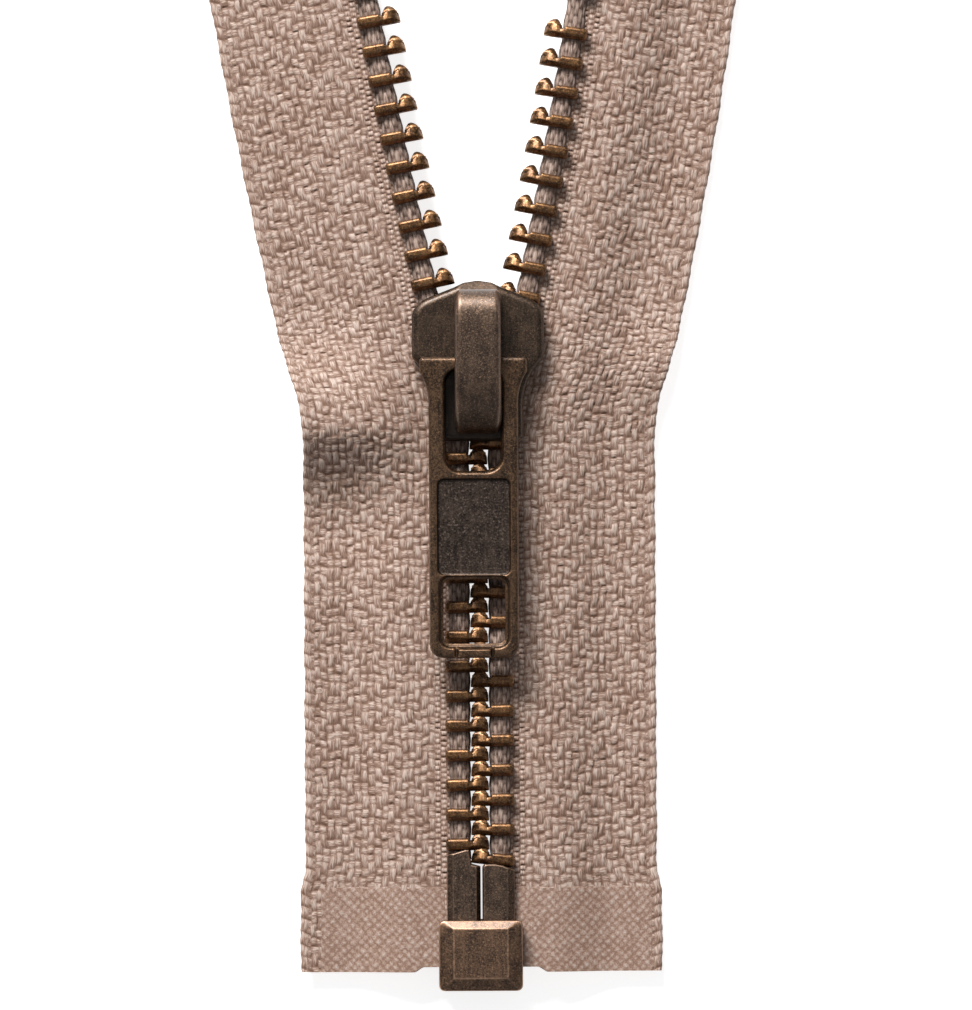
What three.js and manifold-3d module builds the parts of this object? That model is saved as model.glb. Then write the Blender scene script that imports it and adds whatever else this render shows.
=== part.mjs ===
// Separating zipper with metal teeth: an open-ended chain with its box and pins,
// a self-locking slider with a swinging pull, and woven tapes.
//
// Frame, in millimetres: the zipper lies flat. +Y runs along the closed chain from the
// box to the open arms, +Z is the front face, X = 0 is the line where the teeth mesh,
// and the origin is the middle of the underside of the box.

import * as THREE from 'three';
import { mergeVertices } from 'three/addons/utils/BufferGeometryUtils.js';
import { ConvexGeometry } from 'three/addons/geometries/ConvexGeometry.js';
import Module from 'manifold-3d';

const wasm = await Module();
wasm.setup();

// ---- driving dimensions -------------------------------------------------------------

const MID_Z = 2.35; // height of the chain's middle plane

const CHAIN = {
  pitch: 2.471, // along one side
  first: { left: 9.27, right: 8.03 }, // the tooth nearest the pins
  spread: 0.42, // how far the slider draws each row out, over the five teeth it curves
  spreadAfter: 14, // the last tooth below it
  teeth: 29, // on each side
  shown: 7, // separate teeth between the pins and the pull
  covered: 12, // teeth under the pull and in the slider
  stop: 82.3, // the top stop, along the path
  end: 89, // end of tape and cord, along the path
};

const BEND = {
  start: 43,
  end: 46,
  angle: THREE.MathUtils.degToRad(13.4), // between one arm and the closed chain
  ease: { left: 0.00164, right: 0.0026 }, // the angle lost per millimetre further up
  middle: 44.5,
  square: 58, // from here on the tape's weft is square to the arm again
};

const TOOTH = { root: 2.8, filledRoot: 2.55, bar: 0.37, head: 0.67, half: 1.45 };
const CORD = { at: 1.7, radius: 0.85, held: 0.95, sides: 10 };

const TAPE = {
  thick: 0.6,
  inner: 2.68,
  outer: 14.8,
  drop: 1.35, // the outer edge lies this much lower than the chain
  flatTo: 5.8,
  levelFrom: 11.4,
  tail: -1.25, // lower end
  seam: 9.75, // between the stiffened end and the free tape
  gap: 0.05,
};

const FILM = { inner: 3.6, outer: 14.9, top: 5.7, thick: 0.12 };

const BOX = {
  halfX: 3.5,
  halfY: 2.95,
  height: 4.6,
  shoulder: 4.1,
  corner: 0.4,
  bevelX: 1.05,
  bevelTop: 0.75,
  bevelBottom: 1.15,
  cavityX: 2.9,
  floorY: -2.2,
  skin: 0.7,
};

const SLIDER = {
  tail: 42.8,
  nose: 56.2,
  tailHalf: 3.75,
  wingHalf: 5.5,
  height: 4.7,
  plate: 0.75,
  chamfer: 0.2,
  channel: 3.05, // from the path to the flange
  slot: 0.55, // half height of the slot for the tape
};

const BRIDGE = { half: 1.875, topHalf: 1.375, topZ: 8.4 };
const PULL = {
  x: -0.4,
  pivotY: 49.3,
  pivotZ: 5.75,
  tilt: THREE.MathUtils.degToRad(0.9),
  half: 3.72,
  earHalf: 4.48,
  top: 49.8,
  bottom: 24.8,
  thick: 1.3,
  corner: 1.1,
};

// ---- materials ----------------------------------------------------------------------

const LOOKS = {
  tape: { color: 0xa88e7f, roughness: 0.9, metalness: 0 },
  stiffTape: { color: 0xab9283, roughness: 0.7, metalness: 0 },
  film: { color: 0xc9b7a8, roughness: 0.25, metalness: 0 },
  cord: { color: 0x7e6a5f, roughness: 0.95, metalness: 0 },
  tooth: { color: 0x715440, roughness: 0.42, metalness: 1 },
  bronze: { color: 0x493a2e, roughness: 0.45, metalness: 1 },
  pull: { color: 0x4d3b2c, roughness: 0.5, metalness: 1 },
  spring: { color: 0x6f675c, roughness: 0.4, metalness: 1 },
};

// ---- the path of the chain ----------------------------------------------------------

// Angle of one arm at a distance along the path: straight, then bent, then easing back.
function armAngle(side, s) {
  if (s <= BEND.start) return 0;
  if (s < BEND.end) return (BEND.angle * (s - BEND.start)) / (BEND.end - BEND.start);
  return BEND.angle - BEND.ease[side] * (s - BEND.end);
}

// The weft starts out level through the bend and turns square to the arm above it.
function weftAngle(side, s) {
  const share = THREE.MathUtils.smoothstep(s, BEND.end, BEND.square);
  return armAngle(side, s) * share;
}

// Point of the meshing line at a distance along the path, for the side x > 0.
function pathPoint(side, s) {
  const point = new THREE.Vector2(0, Math.min(s, BEND.start));
  const steps = Math.ceil(Math.max(0, s - BEND.start) / 0.25);
  const step = steps ? (s - BEND.start) / steps : 0;
  for (let i = 0; i < steps; i++) {
    const angle = armAngle(side, BEND.start + (i + 0.5) * step);
    point.x += Math.sin(angle) * step;
    point.y += Math.cos(angle) * step;
  }
  return point;
}

// ---- solids -------------------------------------------------------------------------

function solidOf(geometry) {
  const bare = geometry.clone();
  bare.deleteAttribute('normal');
  bare.deleteAttribute('uv');
  const merged = mergeVertices(bare, 1e-5);
  return new wasm.Manifold(new wasm.Mesh({
    numProp: 3,
    vertProperties: new Float32Array(merged.attributes.position.array),
    triVerts: new Uint32Array(merged.index.array),
  }));
}

function geometryOf(solid) {
  const mesh = solid.getMesh();
  const geometry = new THREE.BufferGeometry();
  const positions = new Float32Array(mesh.vertProperties);
  geometry.setAttribute('position', new THREE.BufferAttribute(positions, 3));
  geometry.setIndex(new THREE.BufferAttribute(new Uint32Array(mesh.triVerts), 1));
  return geometry;
}

function shapeOf(points) {
  return new THREE.Shape(points.map(([a, b]) => new THREE.Vector2(a, b)));
}

// A prism on an outline, from one height to another, with chamfered end edges if asked.
function prismGeometry(shape, from, to, chamfer = 0) {
  const geometry = new THREE.ExtrudeGeometry(shape, {
    depth: to - from - 2 * chamfer,
    curveSegments: 5,
    bevelEnabled: chamfer > 0,
    bevelThickness: chamfer,
    bevelSize: chamfer,
    bevelOffset: -chamfer,
    bevelSegments: 1,
  });
  return geometry.translate(0, 0, from + chamfer);
}

function prismZ(shape, from, to, chamfer = 0) {
  return solidOf(prismGeometry(shape, from, to, chamfer));
}

// The outline lies in YZ and is drawn out along X.
function prismX(points, from, to) {
  const turn = new THREE.Matrix4().makeBasis(
    new THREE.Vector3(0, 1, 0),
    new THREE.Vector3(0, 0, 1),
    new THREE.Vector3(1, 0, 0),
  );
  return solidOf(prismGeometry(shapeOf(points), from, to).applyMatrix4(turn));
}

// The outline lies in XZ and is drawn out along Y.
function prismY(points, from, to) {
  const turn = new THREE.Matrix4().makeBasis(
    new THREE.Vector3(1, 0, 0),
    new THREE.Vector3(0, 0, 1),
    new THREE.Vector3(0, -1, 0),
  );
  return solidOf(prismGeometry(shapeOf(points), -to, -from).applyMatrix4(turn));
}

function block(x0, x1, y0, y1, z0, z1) {
  const geometry = new THREE.BoxGeometry(x1 - x0, y1 - y0, z1 - z0);
  geometry.translate((x0 + x1) / 2, (y0 + y1) / 2, (z0 + z1) / 2);
  return solidOf(geometry);
}

function union(solids) {
  return solids.reduce((whole, next) => whole.add(next));
}

function forSide(side, solid) {
  return side === 'left' ? solid.mirror([1, 0, 0]) : solid;
}

// Moves a solid drawn about the meshing line (x outward) to its place on the path.
function placeOnPath(side, solid, s) {
  const at = pathPoint(side, s);
  const turn = -THREE.MathUtils.radToDeg(armAngle(side, s));
  return forSide(side, solid.rotate([0, 0, turn]).translate([at.x, at.y, MID_Z]));
}

// Bends a geometry along the path. Its x is the distance outward from the meshing line,
// its y runs from 0 to 1 between two distances along the path.
function bendAlong(side, geometry, from, to, angleAt) {
  const position = geometry.attributes.position;
  for (let i = 0; i < position.count; i++) {
    const s = THREE.MathUtils.lerp(from, to, position.getY(i));
    const at = pathPoint(side, s);
    const angle = angleAt(side, s);
    const out = position.getX(i);
    const x = at.x + out * Math.cos(angle);
    const y = at.y - out * Math.sin(angle);
    position.setXYZ(i, x, y, position.getZ(i) + MID_Z);
  }
  return forSide(side, solidOf(geometry));
}

// ---- chain --------------------------------------------------------------------------

// Outline in the tape's plane: a bar that clasps the cord and a head past the middle.
function toothOutline(root) {
  return shapeOf([
    [root, -TOOTH.bar], [root, TOOTH.bar], [1.1, TOOTH.bar], [0.75, 0.55],
    [-0.45, 0.5], [-TOOTH.head, 0.25], [-TOOTH.head, -0.25], [-0.5, -0.42],
    [0.75, -0.45], [1.0, -TOOTH.bar],
  ]);
}

const NIB = [[0.45, 0.4], [0.1, 1.05], [-0.05, 1.05], [-0.35, 0.4]];
const SOCKET = [[-0.5, -0.6], [-0.45, -0.45], [-0.2, -0.1], [0.2, -0.1], [0.45, -0.45], [0.5, -0.6]];

// Cross-section through the tape: two legs with the cord between them.
function clasp(innerEnd, innerHalf) {
  const slot = 0.42;
  const radius = CORD.radius + 0.07;
  const open = Math.asin(slot / radius);
  const points = [
    [TOOTH.root, slot], [TOOTH.root, TOOTH.half], [innerEnd + 0.3, TOOTH.half],
    [innerEnd, innerHalf], [innerEnd, -innerHalf], [innerEnd + 0.3, -TOOTH.half],
    [TOOTH.root, -TOOTH.half], [TOOTH.root, -slot],
  ];
  const steps = 7;
  for (let i = 0; i <= steps; i++) {
    const angle = -open - ((2 * Math.PI - 2 * open) * i) / steps;
    points.push([CORD.at + radius * Math.cos(angle), radius * Math.sin(angle)]);
  }
  return points;
}

function toothSolid() {
  const bar = prismZ(toothOutline(TOOTH.root), -2, 2);
  const legs = prismY(clasp(-TOOTH.head, 1.2), -2, 2);
  const nib = prismZ(shapeOf(NIB), -0.55, 0.55);
  const socket = prismZ(shapeOf(SOCKET), -0.65, 0.65);
  return bar.intersect(legs).add(nib).subtract(socket);
}

// Where the cord is one body with its teeth, the tooth has no hollow for it.
function filledToothSolid() {
  const bar = prismZ(toothOutline(TOOTH.filledRoot), -TOOTH.half, TOOTH.half);
  const nib = prismZ(shapeOf(NIB), -0.55, 0.55);
  const socket = prismZ(shapeOf(SOCKET), -0.65, 0.65);
  return bar.add(nib).subtract(socket);
}

const tooth = toothSolid();
const filledTooth = filledToothSolid();

function onPath(side, solid, k) {
  const drawn = Math.min(1, Math.max(0, (k - CHAIN.spreadAfter) / 5)) * CHAIN.spread;
  return placeOnPath(side, solid, CHAIN.first[side] + k * CHAIN.pitch + drawn);
}

function cordSolid(side, from, to, radius) {
  const rings = from < BEND.start ? 3 : Math.ceil((to - from) / 4);
  const rod = new THREE.CylinderGeometry(radius, radius, 1, CORD.sides, rings);
  rod.translate(CORD.at, 0.5, 0);
  return bendAlong(side, rod, from, to, armAngle);
}

// A run of teeth together with the stretch of cord that they clasp.
function chainRun(side, firstTooth, lastTooth, from, to) {
  const parts = [cordSolid(side, from, to, CORD.held)];
  for (let k = firstTooth; k <= lastTooth; k++) parts.push(onPath(side, filledTooth, k));
  return union(parts);
}

function topStopSolid(side) {
  const stop = prismY(clasp(0.45, 1.15), -1.1, 1.1);
  return placeOnPath(side, stop, CHAIN.stop);
}

// ---- tape ---------------------------------------------------------------------------

function tapeHeight(out) {
  return -TAPE.drop * THREE.MathUtils.smoothstep(out, TAPE.flatTo, TAPE.levelFrom);
}

// A band of cloth between two distances outward, following the fall of the tape.
function bandSolid(side, inner, outer, from, to, thick, lift, rows) {
  const outs = [inner, TAPE.flatTo, 7.6, 9.6, TAPE.levelFrom, outer];
  const columns = outs.length - 1;
  const band = new THREE.BoxGeometry(1, 1, 1, columns, rows, 1);
  const position = band.attributes.position;
  for (let i = 0; i < position.count; i++) {
    const out = outs[Math.round((position.getX(i) + 0.5) * columns)];
    const height = tapeHeight(out) + lift + position.getZ(i) * thick;
    position.setXYZ(i, out, position.getY(i) + 0.5, height);
  }
  return bendAlong(side, band, from, to, weftAngle);
}

function tapeSolid(side, from, to, rows) {
  return bandSolid(side, TAPE.inner, TAPE.outer, from, to, TAPE.thick, 0, rows);
}

// The tape's end: cut in a curve beside the box, and clasped by the pin inside it.
function tapeEndSolid(side) {
  const band = bandSolid(side, 2.8, TAPE.outer, TAPE.tail, TAPE.seam - TAPE.gap, TAPE.thick, 0, 1);
  const round = new THREE.CylinderGeometry(1.1, 1.1, 6, 14);
  round.rotateX(Math.PI / 2);
  round.translate(4.2, TAPE.tail - 0.75, MID_Z);
  return band.subtract(forSide(side, solidOf(round)));
}

function filmSolid(side) {
  const lift = TAPE.thick / 2 + TAPE.gap + FILM.thick / 2;
  return bandSolid(side, FILM.inner, FILM.outer, TAPE.tail, FILM.top, FILM.thick, lift, 1)
    .subtract(forSide(side, filmCut()));
}

function filmCut() {
  const round = new THREE.CylinderGeometry(1.2, 1.2, 6, 14);
  round.rotateX(Math.PI / 2);
  round.translate(4.2, TAPE.tail - 0.75, MID_Z);
  return solidOf(round);
}

// ---- box and pins -------------------------------------------------------------------

function roundedRect(halfX, halfY, r) {
  const shape = new THREE.Shape();
  shape.moveTo(-halfX + r, -halfY);
  shape.lineTo(halfX - r, -halfY);
  shape.absarc(halfX - r, -halfY + r, r, -Math.PI / 2, 0);
  shape.lineTo(halfX, halfY - r);
  shape.absarc(halfX - r, halfY - r, r, 0, Math.PI / 2);
  shape.lineTo(-halfX + r, halfY);
  shape.absarc(-halfX + r, halfY - r, r, Math.PI / 2, Math.PI);
  shape.lineTo(-halfX, -halfY + r);
  shape.absarc(-halfX + r, -halfY + r, r, Math.PI, 1.5 * Math.PI);
  return shape;
}

// A block with a raised front panel framed by wide bevels, hollow and open at the top.
function boxSolid() {
  const outline = roundedRect(BOX.halfX, BOX.halfY, BOX.corner);
  const panelX = BOX.halfX - BOX.bevelX;
  const panelLow = -BOX.halfY + BOX.bevelBottom;
  const panelHigh = BOX.halfY - BOX.bevelTop;
  const points = outline.getPoints(3).map((p) => new THREE.Vector3(p.x, p.y, BOX.shoulder));
  for (const x of [-panelX, panelX]) {
    points.push(new THREE.Vector3(x, panelLow, BOX.height));
    points.push(new THREE.Vector3(x, panelHigh, BOX.height));
  }
  const front = solidOf(new ConvexGeometry(points));
  const body = solidOf(new THREE.ExtrudeGeometry(outline, {
    depth: BOX.shoulder,
    curveSegments: 3,
    bevelEnabled: false,
  }));
  const x = BOX.cavityX;
  const cavity = block(-x, x, BOX.floorY, 5, BOX.skin, 2 * MID_Z - BOX.skin - 0.15);
  const slots = block(-5, 5, TAPE.tail - 0.15, 5, MID_Z - 0.55, MID_Z + 0.55);
  return body.add(front).subtract(cavity).subtract(slots);
}

function pinSolid(points) {
  return prismZ(shapeOf(points), MID_Z - TOOTH.half, MID_Z + TOOTH.half - 0.1, 0.25);
}

// The pin that stays in the box, with a step where the other side's first head sits.
const BOX_PIN = [[-2.75, -2], [-0.25, -2], [-0.25, 7.2], [-1.04, 7.35], [-1.1, 8.65], [-2.75, 8.2]];
const INSERTION_PIN = [[0.05, -2], [2.7, -2], [2.7, 7.0], [1.2, 7.45], [0.05, 7.45]];

// ---- slider -------------------------------------------------------------------------

function sliderOutline() {
  const shape = new THREE.Shape();
  const s = SLIDER;
  shape.moveTo(-s.tailHalf + 0.4, s.tail);
  shape.lineTo(s.tailHalf - 0.4, s.tail);
  shape.lineTo(s.tailHalf, s.tail + 0.4);
  shape.lineTo(s.tailHalf, 46);
  shape.quadraticCurveTo(3.9, 48.2, s.wingHalf, 49.8);
  shape.lineTo(s.wingHalf, 53.2);
  shape.quadraticCurveTo(5.4, 54.3, 3.8, 54.9);
  shape.lineTo(2, 55.6);
  shape.lineTo(1.2, 56.0);
  shape.lineTo(0, s.nose);
  shape.lineTo(-1.2, 56.0);
  shape.lineTo(-2, 55.6);
  shape.lineTo(-3.8, 54.9);
  shape.quadraticCurveTo(-5.4, 54.3, -s.wingHalf, 53.2);
  shape.lineTo(-s.wingHalf, 49.8);
  shape.quadraticCurveTo(-3.9, 48.2, -s.tailHalf, 46);
  shape.lineTo(-s.tailHalf, s.tail + 0.4);
  return shape;
}

// The Y-shaped hollow between the flanges, one side of it along each arm.
function channelSolid() {
  const edge = [];
  for (let s = SLIDER.tail - 1; s <= SLIDER.nose + 3; s += 1.5) {
    const at = pathPoint('left', s);
    const angle = armAngle('left', s);
    const x = at.x + SLIDER.channel * Math.cos(angle);
    const y = at.y - SLIDER.channel * Math.sin(angle);
    edge.push([x, y]);
  }
  const mirrored = edge.map(([x, y]) => [-x, y]).reverse();
  return prismZ(shapeOf([...edge, ...mirrored]), SLIDER.plate, SLIDER.height - SLIDER.plate);
}

// Two plates, flanges with a slot for each tape, and the wedge that parts the teeth.
function sliderSolid() {
  const whole = prismZ(sliderOutline(), 0, SLIDER.height, SLIDER.chamfer);
  const slot = block(-9, 9, 40, 60, MID_Z - SLIDER.slot, MID_Z + SLIDER.slot);
  const mouth = block(-9, 9, 53.6, 60, SLIDER.plate, SLIDER.height - SLIDER.plate);
  const wedge = prismZ(
    shapeOf([[-0.12, 48.6], [0.12, 48.6], [1.65, 55.8], [-1.65, 55.8]]),
    SLIDER.plate / 2,
    SLIDER.height - SLIDER.plate / 2,
  );
  const pinHole = block(1.0, 2.0, 45.7, 46.85, 3.5, 5);
  return whole
    .subtract(channelSolid())
    .subtract(slot)
    .subtract(mouth)
    .add(wedge)
    .subtract(pinHole);
}

// An arched strap over the pull's crossbar, with its front edges sloped.
function bridgeSolid() {
  const foot = SLIDER.height + TAPE.gap;
  const strap = prismX([
    [55.4, foot], [55.4, 6.0], [54.9, 7.4], [53.0, BRIDGE.topZ], [46.0, BRIDGE.topZ],
    [44.5, 8.0], [43.5, 6.3], [43.4, foot], [44.5, foot], [44.6, 6.4], [45.2, 7.6],
    [53.4, 7.6], [54.3, 6.6], [54.4, foot],
  ], -3, 3);
  const slopes = prismY([
    [-BRIDGE.half, 4], [BRIDGE.half, 4], [BRIDGE.half, 7.7], [BRIDGE.topHalf, 8.5],
    [-BRIDGE.topHalf, 8.5], [-BRIDGE.half, 7.7],
  ], 40, 60);
  return strap.intersect(slopes);
}

// A spring strip under the bridge with a pin that drops between two teeth.
function leverSolid() {
  const strip = block(-1.4, 1.8, 45.75, 53.6, 6.75, 7.05);
  const pin = block(1.2, 1.8, 45.9, 46.6, 3.45, 6.9);
  return strip.add(pin);
}

// ---- pull ---------------------------------------------------------------------------

function windowShape(half, low, high, r) {
  const middle = (low + high) / 2;
  const shape = roundedRect(half, (high - low) / 2, r);
  return shapeOf(shape.getPoints(3).map((p) => [p.x, p.y + middle]));
}

function pullOutline() {
  const p = PULL;
  const shape = new THREE.Shape();
  shape.moveTo(p.half - p.corner, p.bottom);
  shape.absarc(p.half - p.corner, p.bottom + p.corner, p.corner, -Math.PI / 2, 0);
  shape.lineTo(p.half, 46.2);
  shape.quadraticCurveTo(p.half + 0.1, 47.6, p.earHalf, 48.6);
  shape.lineTo(p.earHalf, p.top);
  shape.lineTo(-p.earHalf, p.top);
  shape.lineTo(-p.earHalf, 48.6);
  shape.quadraticCurveTo(-p.half - 0.1, 47.6, -p.half, 46.2);
  shape.lineTo(-p.half, p.bottom + p.corner);
  shape.absarc(-p.half + p.corner, p.bottom + p.corner, p.corner, Math.PI, 1.5 * Math.PI);
  return shape;
}

// A framed plate: crossbar and open loop at the slider, recessed panel, lower window.
function pullSolid() {
  const half = PULL.thick / 2;
  const plate = prismZ(pullOutline(), -half, half, 0.2);
  const loop = prismZ(windowShape(2.37, 40.33, 48.75, 0.9), -2, 2);
  const lower = prismZ(windowShape(2.56, 26.0, 31.33, 0.6), -2, 2);
  const panel = prismZ(windowShape(3.0, 31.9, 39.67, 0.5), half - 0.25, 2);
  const land = block(-1.35, 1.35, PULL.bottom + 0.1, 25.95, 0, half + 0.2);
  return plate.add(land).subtract(loop).subtract(lower).subtract(panel);
}

// ---- scene graph --------------------------------------------------------------------

const zipper = new THREE.Group();

function addPiece(name, look, solid, parent = zipper) {
  const mesh = new THREE.Mesh(geometryOf(solid), new THREE.MeshStandardMaterial(LOOKS[look]));
  mesh.name = name;
  mesh.geometry.computeVertexNormals();
  parent.add(mesh);
  return mesh;
}

addPiece('box', 'bronze', boxSolid());
addPiece('box_pin', 'bronze', pinSolid(BOX_PIN));
addPiece('insertion_pin', 'bronze', pinSolid(INSERTION_PIN));

for (const side of ['left', 'right']) {
  const first = CHAIN.first[side];
  const lowerSplit = first + (CHAIN.shown - 0.4) * CHAIN.pitch;
  const upperTooth = CHAIN.shown + CHAIN.covered;
  const upperSplit = first + (upperTooth - 0.4) * CHAIN.pitch;
  const lastUnder = Math.floor((BEND.middle - first) / CHAIN.pitch);
  const cordStart = side === 'left' ? 8.8 : 7.6;

  addPiece(`${side}_tape_end`, 'stiffTape', tapeEndSolid(side));
  addPiece(`${side}_film`, 'film', filmSolid(side));
  addPiece(`${side}_tape_middle`, 'tape', tapeSolid(side, TAPE.seam, BEND.middle - 0.03, 3));
  addPiece(`${side}_tape_upper`, 'tape', tapeSolid(side, BEND.middle + 0.03, CHAIN.end, 16));
  addPiece(`${side}_cord_middle`, 'cord', cordSolid(side, cordStart, lowerSplit - 0.05, CORD.radius));
  addPiece(`${side}_cord_upper`, 'cord', cordSolid(side, upperSplit + 0.05, CHAIN.end, CORD.radius));

  const underPull = chainRun(side, CHAIN.shown, lastUnder, lowerSplit, BEND.middle - 0.05);
  const inSlider = chainRun(side, lastUnder + 1, upperTooth - 1, BEND.middle + 0.05, upperSplit);
  addPiece(`${side}_chain_under_pull`, 'tooth', underPull);
  addPiece(`${side}_chain_in_slider`, 'tooth', inSlider);

  for (let k = 0; k < CHAIN.teeth; k++) {
    const covered = k >= CHAIN.shown && k < upperTooth;
    const number = String(k + 1).padStart(2, '0');
    if (!covered) addPiece(`${side}_tooth_${number}`, 'tooth', onPath(side, tooth, k));
  }
  addPiece(`${side}_top_stop`, 'bronze', topStopSolid(side));
}

addPiece('slider_body', 'bronze', sliderSolid());
addPiece('bridge', 'bronze', bridgeSolid());
addPiece('locking_lever', 'spring', leverSolid());

const pullPivot = new THREE.Group();
pullPivot.position.set(PULL.x, PULL.pivotY, PULL.pivotZ);
pullPivot.rotation.x = PULL.tilt;
zipper.add(pullPivot);
const pull = addPiece('pull', 'pull', pullSolid(), pullPivot);
pull.position.y = -PULL.pivotY;

export default zipper;
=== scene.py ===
"""Separating zipper with antique-bronze metal parts and woven tapes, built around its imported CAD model.

Lengths are in millimetres, in the CAD frame, until a mesh is finished; then they are scaled to metres.
"Out" is the distance outward from the line where the teeth mesh, "along" is the distance along it.
"""

import math

import bmesh
import bpy
import numpy as np
from mathutils import Matrix, Vector


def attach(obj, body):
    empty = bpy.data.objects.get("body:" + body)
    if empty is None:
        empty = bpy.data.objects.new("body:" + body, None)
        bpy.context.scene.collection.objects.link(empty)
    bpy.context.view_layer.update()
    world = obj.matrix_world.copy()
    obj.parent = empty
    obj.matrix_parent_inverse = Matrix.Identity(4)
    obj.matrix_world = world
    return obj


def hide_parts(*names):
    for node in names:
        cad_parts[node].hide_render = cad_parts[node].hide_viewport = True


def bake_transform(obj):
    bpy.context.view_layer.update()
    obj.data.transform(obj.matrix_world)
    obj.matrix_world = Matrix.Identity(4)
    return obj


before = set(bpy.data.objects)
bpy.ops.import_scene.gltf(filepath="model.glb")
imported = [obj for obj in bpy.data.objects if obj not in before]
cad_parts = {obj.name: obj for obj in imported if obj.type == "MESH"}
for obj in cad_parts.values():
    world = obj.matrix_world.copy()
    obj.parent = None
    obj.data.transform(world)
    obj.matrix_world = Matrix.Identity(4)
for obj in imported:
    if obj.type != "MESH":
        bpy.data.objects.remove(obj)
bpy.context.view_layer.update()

MM = 0.001
SIDES = {"left": -1, "right": 1}

# ---- driving dimensions, as in the CAD model ----

MID_Z = 2.35  # the plane that the cloth and the chain are centred on
PITCH = 2.471  # from one tooth to the next on the same side
FIRST_TOOTH = {"left": 9.27, "right": 8.03}
TEETH = 29
SPREAD = 0.42  # how far the slider draws each row out
SPREAD_AFTER = 14  # the last tooth below it
SPREAD_OVER = 5  # teeth that share it
TOP_STOP = 82.3
END = 89.0

BEND_START = 43.0
BEND_END = 46.0
BEND = math.radians(13.4)
EASE = {"left": 0.00164, "right": 0.0026}  # how each arm turns back, in radians per millimetre
SQUARE_FROM = 58.0

TOOTH_ROOT = 2.8
TOOTH_HALF = 1.45
CORD_AT = 1.68
CORD_RADIUS = 0.87
CORD_START = {"left": 8.0, "right": 6.9}

TAPE_TAIL = -1.42
TAIL_CUT = 0.43  # how far the tape's lower end is cut back beside the box
TAPE_INNER = 2.25  # the cloth reaches in between the legs of the teeth
TAPE_OUTER = {"left": 14.62, "right": 14.72}
TAPE_DROP = 1.35
FILM_INNER = 2.95
FILM_OUTER = {"left": 13.0, "right": 13.9}
FILM_TOP = 5.7
FILM_WIDENS = 0.42  # how much wider the tape is pressed under the film

TAPE_SLOT = (1.8, 2.9)  # back and front of the slots that the tapes run through
CHANNEL = (0.75, 3.95)  # back and front of the slider's channel
CHANNEL_HALF = 3.05
PULL = {"x": -0.4, "y": 49.3, "z": 5.75, "tilt": math.radians(0.9)}


# ---- path of the chain ----


def smoothstep(x, low, high):
    t = np.clip((np.asarray(x, float) - low) / (high - low), 0, 1)
    return t * t * (3 - 2 * t)


def arm_angle(side, s):
    """Angle of one arm: straight, then bent, then easing back."""
    s = np.asarray(s, float)
    bent = BEND * (s - BEND_START) / (BEND_END - BEND_START)
    arm = BEND - EASE[side] * (s - BEND_END)
    return np.where(s <= BEND_START, 0, np.where(s < BEND_END, bent, arm))


def weft_angle(side, s):
    """The weft lies level through the bend and turns square to the arm above it."""
    return arm_angle(side, s) * smoothstep(s, BEND_END, SQUARE_FROM)


def make_path(side, step=0.25):
    s = np.arange(BEND_START, END + step, step)
    angle = arm_angle(side, s[:-1] + step / 2)
    x = np.concatenate([[0], np.cumsum(np.sin(angle) * step)])
    y = BEND_START + np.concatenate([[0], np.cumsum(np.cos(angle) * step)])
    return s, x, y


PATHS = {side: make_path(side) for side in SIDES}


def on_path(side, out, along, angle):
    """X and Y of places given by their distance outward and along the path."""
    s, x, y = PATHS[side]
    at_x = np.interp(along, s, x)
    at_y = np.where(along < BEND_START, along, np.interp(along, s, y))
    return SIDES[side] * (at_x + out * np.cos(angle)), at_y - out * np.sin(angle)


# ---- meshes ----


def add_object(name, data, material=None):
    obj = bpy.data.objects.new(name, data)
    bpy.context.scene.collection.objects.link(obj)
    if material:
        data.materials.clear()
        data.materials.append(material)
    return obj


def finish_mesh(mesh):
    work = bmesh.new()
    work.from_mesh(mesh)
    bmesh.ops.recalc_face_normals(work, faces=work.faces)
    work.to_mesh(mesh)
    work.free()
    mesh.transform(Matrix.Scale(MM, 4))
    mesh.polygons.foreach_set("use_smooth", [True] * len(mesh.polygons))
    mesh.set_sharp_from_angle(angle=math.radians(70))
    mesh.update()


def quads(index):
    """Faces of a grid of vertex numbers."""
    corners = index[:-1, :-1], index[:-1, 1:], index[1:, 1:], index[1:, :-1]
    return np.stack([c.ravel() for c in corners], 1).tolist()


def wall_faces(fine, coarse):
    """Triangles between an edge and one with half as many steps."""
    faces = []
    for k in range(len(coarse) - 1):
        a, b, c = fine[2 * k], fine[2 * k + 1], fine[2 * k + 2]
        faces += [[a, b, coarse[k]], [b, coarse[k + 1], coarse[k]], [b, c, coarse[k + 1]]]
    return faces


def add_attribute(mesh, name, values):
    layer = mesh.attributes.new(name, "FLOAT_VECTOR", "POINT")
    layer.data.foreach_set("vector", np.asarray(values, np.float32).ravel())


def sheet_mesh(name, top, top_marks, under, under_marks):
    """A closed sheet: a fine front face, a back face of every second point, and its walls.
    Its marks are "thread" (out, along, tone) and "lie" (1 on a warp yarn, crown, upward)."""
    rows, cols = top.shape[:2]
    half_rows, half_cols = under.shape[:2]
    front = np.arange(rows * cols).reshape(rows, cols)
    back = np.arange(half_rows * half_cols).reshape(half_rows, half_cols) + rows * cols
    faces = quads(front) + quads(back)
    for row in (0, -1):
        faces += wall_faces(front[row, :].tolist(), back[row, :].tolist())
    for col in (0, -1):
        faces += wall_faces(front[:, col].tolist(), back[:, col].tolist())
    points = np.concatenate([top.reshape(-1, 3), under.reshape(-1, 3)])
    mesh = bpy.data.meshes.new(name)
    mesh.from_pydata(points.tolist(), [], faces)
    for k, mark in enumerate(("thread", "lie")):
        values = [top_marks[k].reshape(-1, 3), under_marks[k].reshape(-1, 3)]
        add_attribute(mesh, mark, np.concatenate(values))
    finish_mesh(mesh)
    return mesh


# ---- weave ----

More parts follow.
